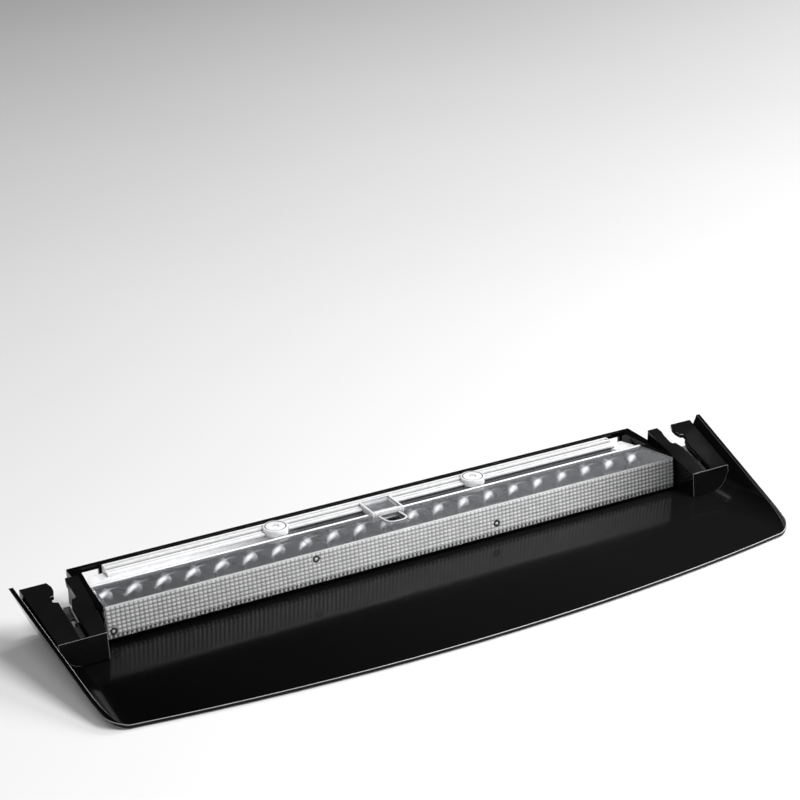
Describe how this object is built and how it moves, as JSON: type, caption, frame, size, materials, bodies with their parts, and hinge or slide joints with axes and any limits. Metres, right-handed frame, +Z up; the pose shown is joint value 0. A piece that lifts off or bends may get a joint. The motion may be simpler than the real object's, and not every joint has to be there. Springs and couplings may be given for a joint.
{
  "type": "third brake light",
  "caption": "High-mounted brake lamp: clear pillow-optic lens bar over a row of LEDs in a black housing, on a glossy curved cover tray with a slotted mounting tower at each end.",
  "frame": {"origin": "centre of the bounding box's footprint, on the cover tray's flat underside", "axes": "+X along the lamp to its right, +Y to the rear (towards the housing), +Z up, normal to the tray's floor"},
  "size_m": [0.4308, 0.143, 0.0315],
  "materials": {
    "gloss_black_plastic": "high gloss",
    "satin_black_plastic": "satin moulded",
    "tongue_plastic": "fine grained",
    "clear_lens": "clear with pillow optics on the front face",
    "housing_black_plastic": "satin moulded",
    "reflector_metallised": "vacuum metallised",
    "board_laminate": "black solder mask",
    "led_epoxy": "water-clear",
    "resistor_ceramic": "dark glaze",
    "diode_epoxy": "moulded",
    "socket_plastic": "moulded",
    "pin_brass": "bright",
    "breather_rubber": "soft matt",
    "gasket_rubber": "closed-cell foam rubber",
    "screw_steel": "zinc plated",
    "screw_black_steel": "black oxide"
  },
  "bodies": {
    "lamp": {"cover_tray": "gloss_black_plastic", "right_tower": "satin_black_plastic", "left_tower": "satin_black_plastic", "lens": "clear_lens", "housing": "housing_black_plastic", "reflector": "reflector_metallised", "circuit_board": "board_laminate", "leds": "led_epoxy", "resistors": "resistor_ceramic", "protection_diode": "diode_epoxy", "connector_socket": "socket_plastic", "contact_pins": "pin_brass", "breather_cap": "breather_rubber", "lens_gasket": "gasket_rubber", "housing_screws": "screw_steel", "right_tower_screws": "screw_steel", "left_tower_screws": "screw_steel", "board_screws": "screw_black_steel"},
    "right_latch": {"right_lock_tongue": "tongue_plastic"},
    "left_latch": {"left_lock_tongue": "tongue_plastic"}
  },
  "joints": [
    {"name": "right_latch_flex", "type": "hinge", "parent": "lamp", "child": "right_latch", "pos_m": [0.19145, 0.0092, 0.0136], "axis": [1, 0, 0], "range_deg": [-7, 0], "stiffness_Nm_per_rad": 0.05},
    {"name": "left_latch_flex", "type": "hinge", "parent": "lamp", "child": "left_latch", "pos_m": [-0.19145, 0.0092, 0.0136], "axis": [1, 0, 0], "range_deg": [-7, 0], "stiffness_Nm_per_rad": 0.05}
  ]
}
